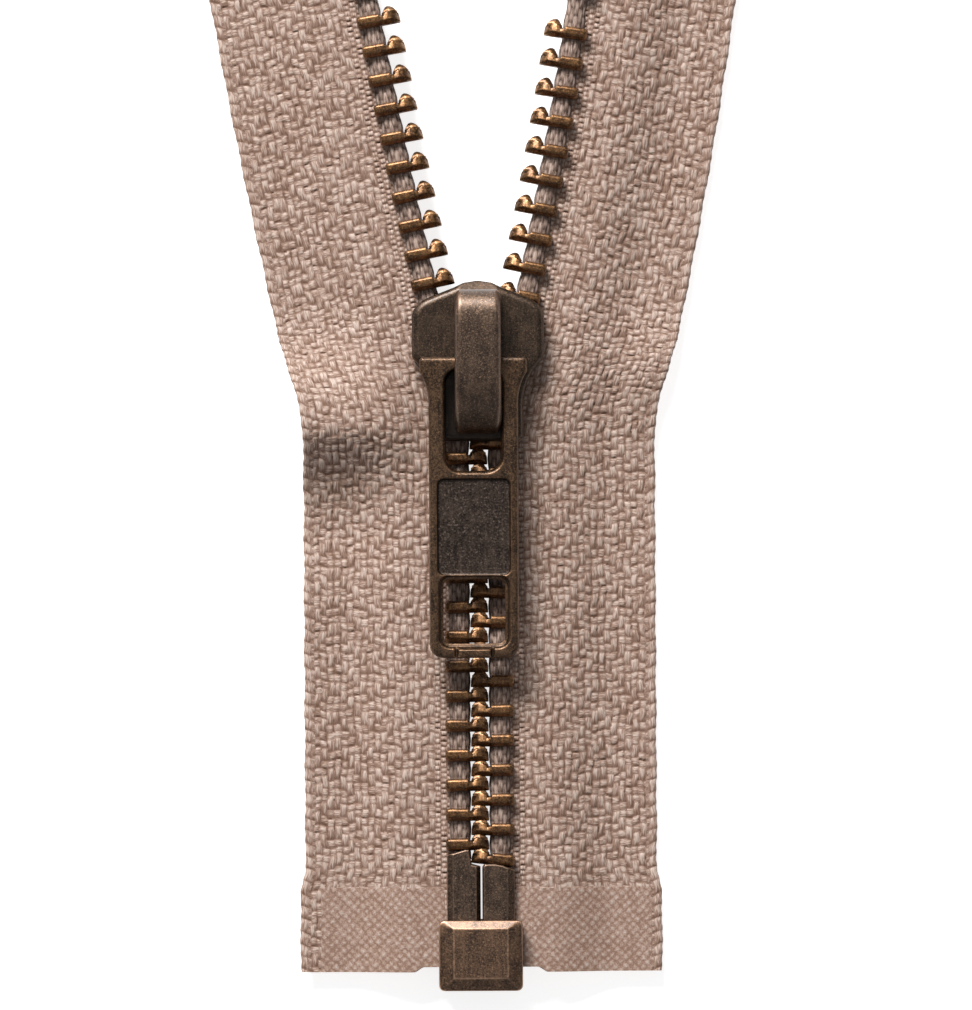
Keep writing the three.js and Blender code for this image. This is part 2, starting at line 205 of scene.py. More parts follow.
COLUMN = 0.56  # from one warp yarn to the next
PICK = 0.6  # from one weft yarn to the next
FLOAT = 4  # picks from one float of a warp yarn to its next
TURN = 11  # columns from one herringbone point to the next of the same kind
RIB_END = 3.75  # out to here the tape is ribbed
RIB_COLUMN, RIB = 0.5, 0.44  # from one rib to the next, outward and along
SELVEDGE = 0.85  # width of the looped edge
LOOP, SHORT_LOOP = 1.05, 0.6  # from one loop of the edge to the next, outer and inner
RISE, WEFT_RISE = 0.15, 0.122  # how far a yarn stands out, and a weft yarn
SINK = 0.05  # how far the gaps between yarns lie in
CLOTH_HALF = 0.17
BUNDLES, BUNDLE = 14, 0.39  # fibre bundles round the cord, and the width of one
FILM_THREAD = (0.345, 0.36)  # from one row of the film's domes to the next, outward and along
dice = np.random.default_rng(7).uniform(-1, 1, (6, 64, 256))


def chance(kind, column, float_no):
    """A value from -1 to 1 that belongs to one float of one column; there are six kinds."""
    _, columns, floats = dice.shape
    return dice[kind][np.mod(column, columns).astype(int), np.mod(float_no, floats).astype(int)]


def pillow(x, power):
    """A rounded cross-section: 1 in the middle, 0 at -1 and 1, fuller for a higher power."""
    return np.sqrt(np.clip(1 - np.abs(x) ** power, 0, 1))


def twill(out, along, side, back):
    """Herringbone twill: its height, where the warp is on top, and the upper yarn's tone, place
    up or down its crest (upward, -1 to 1) and height of the crest there (crown, 0 to 1)."""
    seed = (0 if side == "left" else 31) + (17 if back else 0)
    # slow waves, so that no yarn is quite straight
    drift = 0.14 * np.sin(0.83 * along + 1.1 * out + seed) + 0.1 * np.sin(2.3 * along - 0.9 * out)
    u = (out - RIB_END) / COLUMN + drift
    p = along / PICK + 0.12 * np.sin(1.7 * out + 0.6 * along + seed) + 0.1 * np.sin(4.1 * out)
    column = np.floor(u)
    turn = np.mod(column + (2 if side == "left" else 6), TURN)
    slant = np.minimum(turn, TURN - turn) + (FLOAT / 2 if back else 0)
    float_no = np.floor((p - slant + FLOAT / 2) / FLOAT)
    seeded = column + seed
    t = np.mod(p - slant + FLOAT / 2, FLOAT) - FLOAT / 2 + 0.2 * chance(0, seeded, float_no)
    c = u - column - 0.5 + 0.09 * chance(1, seeded, float_no)
    c_lean = c + 0.1 * t * chance(2, seeded, float_no)
    # the open arms show more of the weft than the closed length
    loose = smoothstep(along, 36, 54)
    width = 0.54 + 0.05 * chance(3, seeded, float_no)
    high = 1 + 0.2 * chance(4, seeded, float_no)
    reach = 0.98 + 0.04 * loose
    upward = np.clip((t - 0.06) / reach, -1, 1)
    warp_crown = pillow(c_lean / width, 2.3) * pillow(upward, np.where(upward > 0, 3.2, 1.7))
    warp = RISE * high * warp_crown * (1 + 0.25 * upward)
    pick_no = 2 * float_no + (t > 0)
    level = 1 + 0.25 * chance(5, seeded, pick_no)
    side_c = (c + 0.12 * chance(0, seeded, pick_no)) / 0.56
    weft_up = (t - 1.45 * np.sign(t)) / 0.62
    weft_crown = pillow(weft_up, 2.1) * pillow(side_c, 2.2)
    weft = (WEFT_RISE + 0.01 * loose) * level * weft_crown
    is_warp = warp > weft
    tone = np.where(is_warp, chance(3, seeded, float_no), chance(2, seeded, pick_no))
    upward = np.where(is_warp, upward, weft_up)
    crown = np.where(is_warp, warp_crown, weft_crown)
    return np.maximum(warp, weft) - SINK, is_warp, tone, upward, crown


def ribs(out, along):
    """The ribbed strip beside the cord, in the same terms as the twill."""
    u = (out - TAPE_INNER) / RIB_COLUMN
    column = np.floor(u)
    v = along / RIB + 0.5 * np.mod(column, 2)
    rib_no = np.floor(v)
    t = v - rib_no - 0.5 + 0.08 * chance(3, column, rib_no)
    crown = pillow(t / 0.5, 2.0) * pillow((u - column - 0.5) / 0.54, 2.0)
    height = RISE * crown * (1 + 0.2 * chance(2, column, rib_no)) - SINK
    return height, True, 0.3 + 0.8 * chance(4, column, rib_no), 2 * t, crown


def selvedge(inward, along):
    """The edge's loops and the short ones inside them, in the same terms as the twill."""
    v = along / LOOP + 0.45 * inward + 0.08 * np.sin(along * 1.7) + 0.05 * np.sin(along * 4.3)
    loop_no = np.floor(v)
    t = v - loop_no - 0.5 + 0.07 * chance(1, 0, loop_no)
    across = (inward - 0.3 - 0.07 * chance(2, 0, loop_no)) / 0.5
    loop = RISE * pillow(t / 0.56, 2.4) * pillow(across, 2.0) - SINK
    v = along / SHORT_LOOP + 0.3 * inward
    short_no = np.floor(v)
    short = 0.12 * pillow((v - short_no - 0.5) / 0.5, 2) * pillow((inward - 0.75) / 0.3, 2) - SINK
    is_loop = loop > short
    tone = np.where(is_loop, chance(5, 0, loop_no), chance(4, 0, short_no))
    height = np.maximum(loop, short)
    return height, is_loop, tone * 0.7, 2 * t, (height + SINK) / RISE


def cloth_relief(side, out, along, edge, back):
    """Height of the tape's surface, its lie and its tone: ribbed by the chain, then twilled,
    and looped at its outer edge."""
    found = twill(out, along, side, back)
    inward = edge - out
    for zone, made in (
        (out < RIB_END, ribs(out, along)),
        (inward < SELVEDGE, selvedge(inward, along)),
    ):
        found = [np.where(zone, new, old) for new, old in zip(made, found)]
    height, warp, tone, upward, crown = found
    return height, (warp.astype(float), np.clip(crown, 0, 1), np.clip(upward, -1, 1)), tone


def hump(along, crest, below, above):
    """A rise with its own width on each side of its crest."""
    width = np.where(along < crest, below, above)
    return np.exp(-(((along - crest) / width) ** 2))


def buckle(side, out, along):
    """Rise of the tape where it is pushed together on the outside of the bend."""
    if side == "left":
        rise = 3.1 * hump(along, 44.4, 3.9, 7.0) - 0.35 * hump(along, 35.5, 3.0, 3.0)
        return smoothstep(out, 3.4, 11.0) * rise
    return smoothstep(out, 5.0, 14.0) * hump(along, 50.0, 6.0, 6.0)


def tape_rise(side, out, along):
    return buckle(side, out, along) - TAPE_DROP * smoothstep(out, 5.8, 11.4)


def film_zone(along):
    return 1 - smoothstep(along, FILM_TOP - 0.9, FILM_TOP + 1.6)


def tape_edge(side, along):
    """The outer edge, which is pressed a little wider under the film."""
    wave = 0.025 * np.sin(along * 2 * math.pi / LOOP + 1) + 0.04 * np.sin(along * 1.31)
    return TAPE_OUTER[side] + FILM_WIDENS * film_zone(along) + wave


def cut_tail(out, along):
    """Moves the lowest rows of a grid up to the shape of the tape's lower end."""
    cut_back = TAIL_CUT * (1 - smoothstep(out, 4.7, 5.6))
    return along + cut_back * (1 - smoothstep(along, TAPE_TAIL, TAPE_TAIL + 2.0))


def sheet_grid(width, start, stop, step):
    """Share of the width and place along of each point, with an even number of steps each way."""
    rows = 2 * round((stop - start) / step / 2) + 1
    cols = 2 * round(width / step / 2) + 1
    return np.meshgrid(np.linspace(0, 1, cols), np.linspace(start, stop, rows))


def make_tape(side, part, start, stop, step):
    width = TAPE_OUTER[side] - TAPE_INNER
    share, along = sheet_grid(width, start, stop, step)
    weave_out = TAPE_INNER + share * width
    edge = tape_edge(side, along)
    out = TAPE_INNER + share * (edge - TAPE_INNER)
    along = cut_tail(out, along)

    def face(sign, every):
        o, a = out[::every, ::every], along[::every, ::every]
        weave, rim = weave_out[::every, ::every], edge[::every, ::every]
        x, y = on_path(side, o, a, weft_angle(side, a))
        height, lie, tone = cloth_relief(side, weave, a, TAPE_OUTER[side], sign < 0)
        pressed = film_zone(a) * (weave < FILM_OUTER[side])
        height = height * (1 - 0.85 * pressed)
        round_edge = np.sqrt(np.clip(1 - np.clip(1 - (rim - o) / 0.3, 0, 1) ** 2, 0.02, 1))
        half = CLOTH_HALF * round_edge + height * np.clip(round_edge, 0.3, 1)
        z = MID_Z + tape_rise(side, o, a) + sign * half
        return np.stack([x, y, z], -1), (np.stack([weave, a, tone], -1), np.stack(lie, -1))

    top, top_marks = face(1, 1)
    under, under_marks = face(-1, 2)
    mesh = sheet_mesh(f"{side}_cloth_{part}", top, top_marks, under, under_marks)
    return add_object(f"{side}_cloth_{part}", mesh)


def make_film(side, step):
    """The woven reinforcing patch fused on the tape's end, with its fine plain weave."""
    width = FILM_OUTER[side] - FILM_INNER
    share, along = sheet_grid(width, TAPE_TAIL, FILM_TOP, step)
    out = FILM_INNER + share * width
    along = cut_tail(out, along)
    along = along + 0.04 * np.sin(out * 1.9) * smoothstep(along, 3.5, FILM_TOP)
    widened = 1 + FILM_WIDENS / (TAPE_OUTER[side] - TAPE_INNER)
    stretched = TAPE_INNER + (out - TAPE_INNER) * widened

    # small domes where the threads cross, in diagonal rows
    drift = 0.16 * np.sin(out * 0.9 + along * 1.3) + 0.1 * np.sin(out * 2.3 - along * 1.9)
    a = out / FILM_THREAD[0] + drift
    b = along / FILM_THREAD[1] + 0.14 * np.sin(out * 1.4 - along * 0.8) + 0.09 * np.sin(out * 3.1)
    fall, rise = (a + b) / 2, (a - b) / 2
    cell = np.floor(fall), np.floor(rise)
    tone = chance(1, *cell)
    u, v = fall - cell[0] - 0.5, rise - cell[1] - 0.5
    reach = np.sqrt((u + 0.1 * chance(2, *cell)) ** 2 + (v + 0.1 * chance(3, *cell)) ** 2)
    dome = np.clip(1 - reach / (0.56 + 0.06 * tone), 0, 1)
    worn = np.sin(out * 5.1 + 1.7 * np.sin(along * 2.2)) * np.sin(along * 4.3 + out)
    dome = dome * (0.8 + 0.2 * worn)
    height = 0.028 * np.sqrt(dome) * (1 + 0.6 * tone)
    cloth_z = MID_Z + tape_rise(side, stretched, along) + 0.02

    def face(z, every):
        o, s = stretched[::every, ::every], along[::every, ::every]
        x, y = on_path(side, o, s, 0 * s)
        thread = np.stack([out, along, tone], -1)[::every, ::every]
        lie = np.stack([0 * dome, dome, 0 * dome], -1)[::every, ::every]
        return np.stack([x, y, z[::every, ::every]], -1), (thread, lie)

    border = np.minimum(share, 1 - share) * width
    fade = smoothstep(border, 0.0, 0.12) * smoothstep(FILM_TOP - along, 0.0, 0.12)
    top, top_marks = face(cloth_z + 0.16 + (0.02 + height) * fade, 1)
    under, under_marks = face(cloth_z + 0.1, 2)
    mesh = sheet_mesh(f"{side}_patch", top, top_marks, under, under_marks)
    return add_object(f"{side}_patch", mesh)


def make_cord(side, part, start, stop, step):
    """The cord under the teeth: laid bundles of fibres, nipped in under each tooth."""
    rows = round((stop - start) / step) + 1
    around = round(2 * math.pi * CORD_RADIUS / step)
    turns = np.linspace(0, 2 * math.pi, around, False)
    turn, along = np.meshgrid(turns, np.linspace(start, stop, rows))
    arc = turn / (2 * math.pi) * BUNDLES
    column = np.floor(arc)
    p = (along - FIRST_TOOTH[side]) / PITCH * 2 + 0.5 * np.mod(column, 2)
    bundle_no = np.floor(p)
    t = 2 * (p - bundle_no) - 1
    width = 0.3 + 0.32 * (1 - np.abs(t) ** 2)
    bundle = pillow((arc - column - 0.5) / width, 2) * (0.6 + 0.4 * (1 - t * t))
    nip = np.cos((along - FIRST_TOOTH[side]) / PITCH * 2 * math.pi)
    radius = CORD_RADIUS - 0.05 * nip + 0.1 * bundle - 0.07
    x, y = on_path(side, CORD_AT + radius * np.cos(turn), along, arm_angle(side, along))
    rings = np.stack([x, y, MID_Z + radius * np.sin(turn)], -1)
    points = np.concatenate([rings.reshape(-1, 3), rings[[0, -1]].mean(1)])
    index = np.arange(rows * around).reshape(rows, around)
    index = np.concatenate([index, index[:, :1]], 1)
    faces = quads(index)
    for end, ring in enumerate((index[0].tolist(), index[-1].tolist())):
        faces += [[a, b, rows * around + end] for a, b in zip(ring, ring[1:])]
    name = f"{side}_edge_cord_{part}"
    mesh = bpy.data.meshes.new(name)
    mesh.from_pydata(points.tolist(), [], faces)
    tone = chance(0, column, bundle_no)
    marks = {"thread": (arc * BUNDLE, along, tone), "lie": (1 + 0 * tone, bundle, 0.6 * t)}
    for mark, values in marks.items():
        values = np.stack(values, -1).reshape(-1, 3)
        add_attribute(mesh, mark, np.concatenate([values, np.zeros((2, 3))]))
    finish_mesh(mesh)
    return add_object(name, mesh)


# ---- cast metal ----


def inset(outline, distance):
    """A closed outline, anticlockwise, moved inward by a distance."""
    p = np.array(outline, float)
    back, ahead = p - np.roll(p, 1, 0), np.roll(p, -1, 0) - p
    back /= np.linalg.norm(back, axis=1)[:, None]
    ahead /= np.linalg.norm(ahead, axis=1)[:, None]
    n1 = np.stack([-back[:, 1], back[:, 0]], 1)
    n2 = np.stack([-ahead[:, 1], ahead[:, 0]], 1)
    share = 1 + np.sum(n1 * n2, 1)[:, None]
    return p + distance * (n1 + n2) / np.maximum(share, 0.4)


def add_loft(work, rings):
    """A closed solid through rings of points, with flat ends."""
    rings = [[work.verts.new(p) for p in ring] for ring in rings]
    for low, high in zip(rings, rings[1:]):
        for k in range(len(low)):
            n = (k + 1) % len(low)
            work.faces.new((low[k], low[n], high[n], high[k]))
    work.faces.new(rings[0][::-1])
    work.faces.new(rings[-1])


def add_prism(work, outline, levels):
    """A solid on an outline in XY, with an inset at each of its levels (z, inset)."""
    rings = []
    for z, distance in levels:
        rings.append([(x, y, z) for x, y in inset(outline, distance)])
    add_loft(work, rings)


def add_hull(work, points):
    verts = [work.verts.new(p) for p in points]
    made = bmesh.ops.convex_hull(work, input=verts, use_existing_faces=False)
    spare = set(made["geom_interior"] + made["geom_unused"])
    spare = [g for g in spare if isinstance(g, bmesh.types.BMVert)]
    bmesh.ops.delete(work, geom=spare, context="VERTS")


def box_points(x0, x1, y0, y1, z0, z1):
    return [(x, y, z) for x in (x0, x1) for y in (y0, y1) for z in (z0, z1)]


def rounded(half_x, low, high, r, steps=6):
    """A rectangle with round corners, anticlockwise."""
    points = []
    for cx, cy, start in (
        (half_x - r, low + r, -90),
        (half_x - r, high - r, 0),
        (-half_x + r, high - r, 90),
        (-half_x + r, low + r, 180),
    ):
        for k in range(steps + 1):
            a = math.radians(start + 90 * k / steps)
            points.append((cx + r * math.cos(a), cy + r * math.sin(a)))
    return points


def curve(start, control, end, steps=6):
    """Points of a quadratic curve, without its start."""
    made = []
    for k in range(1, steps + 1):
        t = k / steps
        a, b, c = (1 - t) ** 2, 2 * t * (1 - t), t * t
        made.append(tuple(a * p + b * q + c * r for p, q, r in zip(start, control, end)))
    return made


def with_modifier(mesh, kind, **settings):
    """The mesh as one modifier makes it."""
    obj = add_object("work", mesh)
    modifier = obj.modifiers.new("work", kind)
    for key, value in settings.items():
        setattr(modifier, key, value)
    bpy.context.view_layer.update()
    graph = bpy.context.evaluated_depsgraph_get()
    made = bpy.data.meshes.new_from_object(obj.evaluated_get(graph))
    bpy.data.objects.remove(obj)
    return made


def coordinates(mesh):
    flat = np.zeros(len(mesh.vertices) * 3, np.float32)
    mesh.vertices.foreach_get("co", flat)
    return flat.reshape(-1, 3)


def mesh_from(name, work):
    bmesh.ops.recalc_face_normals(work, faces=work.faces)
    mesh = bpy.data.meshes.new(name)
    work.to_mesh(mesh)
    work.free()
    return mesh


def cast(name, work, cuts=None, *, faces, voxel=0.06, soften=5):
    """One cast solid: overlapping shapes fused, cuts taken out, edges softened.
    The attribute "wear" is how far each point stands proud of its surroundings, in voxels."""
    mesh = mesh_from(name, work)
    if cuts is not None:
        cutter = add_object(name + "_cuts", mesh_from(name + "_cuts", cuts))
        mesh = with_modifier(
            mesh, "BOOLEAN", operation="DIFFERENCE", solver="EXACT", use_self=True, object=cutter
        )
        bpy.data.objects.remove(cutter)
    fused = with_modifier(mesh, "REMESH", mode="VOXEL", voxel_size=voxel)
    soft = with_modifier(fused, "SMOOTH", factor=0.5, iterations=soften)
    softer = with_modifier(fused, "SMOOTH", factor=0.5, iterations=soften + 24)
    normals = np.zeros(len(soft.vertices) * 3, np.float32)
    soft.vertex_normals.foreach_get("vector", normals)
    proud = np.sum((coordinates(soft) - coordinates(softer)) * normals.reshape(-1, 3), 1)
    wear = soft.attributes.new("wear", "FLOAT", "POINT")
    wear.data.foreach_set("value", proud / voxel)
    count = len(soft.polygons) * 2
    if count > faces:
        soft = with_modifier(soft, "DECIMATE", ratio=faces / count)
    soft.name = name
    return soft


def add_wear_and_shade(mesh, amount):
    """Adds amount(x, y, z) to the wear of a cast mesh: above 0 is rubbed, below is darkened, as
    blackening in recesses and as painted shade.
    """
    wear = mesh.attributes["wear"].data
    found = np.zeros(len(wear), np.float32)
    wear.foreach_get("value", found)
    wear.foreach_set("value", (found + amount(*coordinates(mesh).T)).astype(np.float32))


def solid(name, mesh, material, at=Matrix.Identity(4)):
    mesh.transform(at)
    finish_mesh(mesh)
    return add_object(name, mesh, material)


# ---- tooth: x outward, y along the path, z forward ----


def tooth_mesh(name):
    crown = [(-0.54, 0.42), (-0.56, 0.85), (-0.5, 1.08), (-0.26, 1.4), (-0.1, 1.47)]
    crown += [(0.3, 1.46), (0.46, 1.34), (0.5, 1.0), (0.5, 0.42)]
    work = bmesh.new()
    for front in (1, -1):
        # a leg with a flat crown shifted to the upper side, rounded at its root
        leg = []
        for x, shrink, low in ((0.98, 1, 0), (2.5, 1, 0), (2.72, 0.94, 0.06), (2.86, 0.74, 0.2)):
            leg += [(x, y * shrink, max(0.42, z - low)) for y, z in crown]
        add_hull(work, [(x, y, front * z) for x, y, z in leg])
        # the neck, notched on its upper side
        neck = [(0.5, -0.53, 0.5), (1.0, -0.54, 0.5), (0.5, -0.5, 0.86), (1.0, -0.54, 1.0)]
        neck += [(0.5, 0.22, 0.5), (1.0, 0.34, 0.5), (0.5, 0.16, 1.26), (1.0, 0.26, 1.42)]
        neck += [(0.75, -0.14, 1.42), (1.0, -0.2, 1.44), (0.5, -0.14, 1.36)]
        add_hull(work, [(x, y, front * z) for x, y, z in neck])
        # the head slopes down to a sharp lower corner at its tip
        head = [(-0.76, -0.52, 0.55), (-0.74, -0.46, 0.82), (-0.2, -0.53, 0.84), (0.7, -0.53, 0.86)]
        head += [(0.7, -0.14, 1.38), (0.3, -0.1, 1.4), (-0.1, -0.08, 1.3), (-0.46, -0.2, 1.1)]
        head += [(0.5, 0.4, 1.24), (0.24, 0.56, 1.22), (-0.14, 0.5, 1.12), (-0.5, 0.16, 0.92)]
        head += [(-0.72, 0.1, 0.55), (-0.52, 0.48, 0.55), (0.62, 0.5, 0.55), (0.7, -0.5, 0.55)]
        add_hull(work, [(x, y, front * z) for x, y, z in head])
    # throat between the legs, roof over the socket, wall at its end
    add_hull(work, box_points(0.6, 0.98, -0.46, 0.3, -0.9, 0.9))
    add_hull(work, box_points(-0.62, 0.7, -0.12, 0.5, -0.7, 0.7))
    add_hull(work, box_points(-0.7, -0.5, -0.46, 0.25, -0.7, 0.7))
    # the nib, a rounded dome on the upper side
    nib = []
    for y, x0, x1, z in (
        (0.3, -0.62, 0.66, 1.04),
        (0.56, -0.5, 0.6, 1.06),
        (0.76, -0.36, 0.46, 0.96),
        (0.92, -0.14, 0.34, 0.76),
        (1.0, 0.02, 0.2, 0.5),
    ):
        nib += [(x, y, front * z) for x in (x0, x1) for front in (-1, 1)]
        nib += [((x0 + x1) / 2, y, front * (z + 0.1)) for front in (-1, 1)]
    add_hull(work, nib)
    return cast(name, work, voxel=0.04, soften=7, faces=8000)


# ---- other metal pieces ----


def clasp_outline():
    """Cross-section of a clasp round the cord, in x and z."""
    inner, half_inner = 0.45, 1.15
    slot, radius = 0.42, 0.92
    opening = math.asin(slot / radius)
    steps = 9
    points = [(TOOTH_ROOT, slot), (TOOTH_ROOT, TOOTH_HALF), (inner + 0.3, TOOTH_HALF)]
    points += [(inner, half_inner), (inner, -half_inner), (inner + 0.3, -TOOTH_HALF)]
    points += [(TOOTH_ROOT, -TOOTH_HALF), (TOOTH_ROOT, -slot)]
    for k in range(steps + 1):
        a = -opening - (2 * math.pi - 2 * opening) * k / steps
        points.append((CORD_AT + radius * math.cos(a), radius * math.sin(a)))
    return points


def placed(side, along):
    """Where a part of the chain goes, for a mesh drawn for the right side."""
    x, y = on_path(side, 0.0, along, 0.0)
    turn = Matrix.Rotation(-float(arm_angle(side, along)), 4, "Z")
    mirror = Matrix.Scale(SIDES[side], 4, (1, 0, 0))
    at = Matrix.Translation((abs(float(x)), float(y), MID_Z))
    return mirror @ at @ turn


def make_top_stop(side, material):
    work = bmesh.new()
    rings = []
    for y, shrink in ((-1.1, 0.06), (-0.95, 0.0), (0.95, 0.0), (1.1, 0.06)):
        rings.append([(x, y, z) for x, z in inset(clasp_outline()[::-1], shrink)])
    add_loft(work, rings)
    mesh = cast(f"{side}_clasp_stop", work, faces=6000)
    return solid(f"{side}_clasp_stop", mesh, material, placed(side, TOP_STOP))


def make_box(material):
    half, end = 3.5, 2.95
    face_half, face_low, face_high = 2.25, -1.87, 2.26
    work = bmesh.new()
    outline = rounded(half, -end, end, 0.48)
    add_prism(work, outline, [(0, 0.15), (0.15, 0), (3.8, 0), (3.88, 0.06)])
    # bevels rise from the sides to the flat face, from higher up at the chain's end
    top = [(x, y, z) for x, y in inset(outline, 0.03) for z in (3.7, 4.02 if y < 2.5 else 4.28)]
    top += [(x, y, 4.64) for x in (-face_half, face_half) for y in (face_low, face_high)]
    add_hull(work, top)
    # hollow for the pins, slots for the tapes
    cuts = bmesh.new()
    add_hull(cuts, box_points(-2.9, 2.9, -2.2, 5, 0.7, 3.85))
    add_hull(cuts, box_points(-5, 5, -1.4, 5, *TAPE_SLOT))
    mesh = cast("retainer_box", work, cuts, voxel=0.055, soften=3, faces=110000)

    def rubbed(x, y, z):
        beyond = np.maximum(np.abs(x) - face_half, np.maximum(y - face_high, face_low - y))
        uneven = 0.6 + 0.4 * np.sin(x * 5.3 + y * 4.1) * np.sin(y * 7.9 - x * 6.7)
        edges = 0.24 * np.exp(-((beyond / 0.08) ** 2))
        middle = 0.12 * np.exp(-((x / 0.12) ** 2)) * (beyond < 0)
        return uneven * (edges + middle) * (z > 4.3)

    add_wear_and_shade(mesh, rubbed)
    return solid("retainer_box", mesh, material)


def make_pin(name, outline, bevels, material):
    """A bar with a bevel (edge, width, depth) cut along each side of its front face."""
    work = bmesh.new()
    low, high = MID_Z - TOOTH_HALF, MID_Z + 1.35
    add_prism(work, outline, [(low, 0.25), (low + 0.25, 0), (high - 0.12, 0), (high, 0.1)])
    cuts = bmesh.new()
    for edge, width, depth in bevels:
        out = math.copysign(0.3, -width)
        corners = [(edge + out, high - depth), (edge, high - depth), (edge + width, high + 0.01)]
        corners += [(edge + width, high + 0.5), (edge + out, high + 0.5)]
        add_hull(cuts, [(x, y, z) for x, z in corners for y in (-3, 10)])
    mesh = cast(name, work, cuts, voxel=0.045, soften=3, faces=40000)
    return solid(name, mesh, material)


def slider_outline():
    half = [(3.35, 42.8), (3.75, 43.2), (3.75, 46.0)]
    half += curve((3.75, 46), (3.9, 48.2), (5.5, 49.8), 8)
    half += [(5.5, 53.2)] + curve((5.5, 53.2), (5.4, 54.3), (3.8, 54.9), 8)
    half += [(2, 55.6), (1.2, 56.0)]
    mirrored = [(-x, y) for x, y in half[::-1]]
    return half + [(0, 56.2)] + mirrored


def channel_outline():
    """The Y-shaped channel: its walls follow the path of the teeth."""
    s = np.arange(41.8, 59.5, 1.0)
    x, y = on_path("right", CHANNEL_HALF, s, arm_angle("right", s))
    right = list(zip(x.tolist(), y.tolist()))
    return right + [(-a, b) for a, b in right[::-1]]


def make_slider(material):
    """Two plates with the channel and the tape slots between them, and the wedge that parts the teeth."""
    work = bmesh.new()
    outline = slider_outline()
    levels = [(0, 0.3), (0.1, 0.1), (0.3, 0), (4.15, 0), (4.4, 0.08), (4.58, 0.24), (4.68, 0.5)]
    add_prism(work, outline, levels)
    cuts = bmesh.new()
    add_prism(cuts, channel_outline(), [(z, 0) for z in CHANNEL])
    add_hull(cuts, box_points(-9, 9, 40, 60, *TAPE_SLOT))
    add_hull(cuts, box_points(-9, 9, 53.6, 60, *CHANNEL))
    # the lever's pin goes through here
    add_hull(cuts, box_points(1.0, 2.0, 45.7, 46.85, 3.5, 5))
    # the nose slopes away in front
    nose = (55.3, 4.72), (57, 3.5), (57, 5), (55.3, 5)
    add_hull(cuts, [(x, y, z) for x in (-4, 4) for y, z in nose])
    mesh = cast("slider_plates", work, cuts, voxel=0.07, soften=5, faces=120000)

    # painted shade on the plate where the pull's loop covers it: its wear is pushed below 0, which the
    # metal darkens
    def painted_shade_under_pull(x, y, z):
        covered = smoothstep(2.5 - np.abs(x - PULL["x"]), 0, 0.25) * smoothstep(48.9 - y, 0, 0.4)
        return -0.9 * covered * (z > 4.3)

    add_wear_and_shade(mesh, painted_shade_under_pull)
    wedge = bmesh.new()
    outline = [(-0.12, 48.6), (0.12, 48.6), (1.65, 55.8), (-1.65, 55.8)]
    add_prism(wedge, outline, [(0.4, 0), (4.3, 0)])
    post = cast("slider_wedge", wedge, voxel=0.07, soften=2, faces=4000)
    return solid("slider_plates", mesh, material), solid("slider_wedge", post, material)


def rounder(points):
    """Cuts the corners of an open line, twice."""
    for _ in range(2):
        made = [points[0]]
        for (a, b), (c, d) in zip(points, points[1:]):
            for t in (0.25, 0.75):
                made.append(((1 - t) * a + t * c, (1 - t) * b + t * d))
        points = made + [points[-1]]
    return points


def make_bridge(material):
    """An arched strap: a rounded section swept up, over and down."""
    outer = [(55.4, 4.72), (55.42, 5.8), (55.38, 6.9), (55.0, 7.66), (54.3, 8.16), (53.3, 8.4)]
    outer += [(51.0, 8.42), (48.4, 8.42), (46.8, 8.22), (45.4, 7.74), (44.2, 6.96)]
    outer += [(43.5, 6.0), (43.4, 4.72)]
    inner = [(54.4, 4.72), (54.4, 5.6), (54.35, 6.5), (54.1, 7.0), (53.6, 7.4), (53.0, 7.55)]
    inner += [(51.0, 7.6), (48.0, 7.6), (46.6, 7.45), (45.6, 7.05), (44.8, 6.5)]
    inner += [(44.5, 5.8), (44.5, 4.72)]
    section = [(-1.86, 0), (1.86, 0), (1.93, 0.2), (1.92, 0.4), (1.86, 0.6), (1.76, 0.8)]
    section += [(1.62, 0.95), (1.45, 1.0), (-1.45, 1.0), (-1.62, 0.95), (-1.76, 0.8)]
    section += [(-1.86, 0.6), (-1.92, 0.4), (-1.93, 0.2)]
    rings = []
    for (oy, oz), (iy, iz) in zip(rounder(outer), rounder(inner)):
        rings.append([(x, iy + (oy - iy) * t, iz + (oz - iz) * t) for x, t in section])
    work = bmesh.new()
    add_loft(work, rings)
    mesh = cast("bridge_strap", work, voxel=0.06, soften=6, faces=60000)
    return solid("bridge_strap", mesh, material)


def make_lever(material):
    """A spring strip under the bridge, with a pin at its lower end."""
    work = bmesh.new()
    strip = box_points(-1.4, 1.8, 46.0, 53.4, 6.7, 6.75)
    add_hull(work, strip + box_points(-1.4, 1.8, 46.5, 53.0, 6.8, 6.95))
    add_hull(work, box_points(1.2, 1.8, 45.9, 46.6, 3.45, 6.72))
    mesh = cast("spring_lever", work, voxel=0.06, soften=2, faces=6000)
    return solid("spring_lever", mesh, material)


def pull_outline():
    corner = rounded(3.72, 24.8, 30.0, 1.1)[:7]
    half = corner + [(3.72, 46.2)]
    half += curve((3.72, 46.2), (3.82, 47.6), (4.48, 48.6), 6)
    half += [(4.48, 49.55), (4.3, 49.8)]
    return half + [(-x, y) for x, y in half[::-1]]


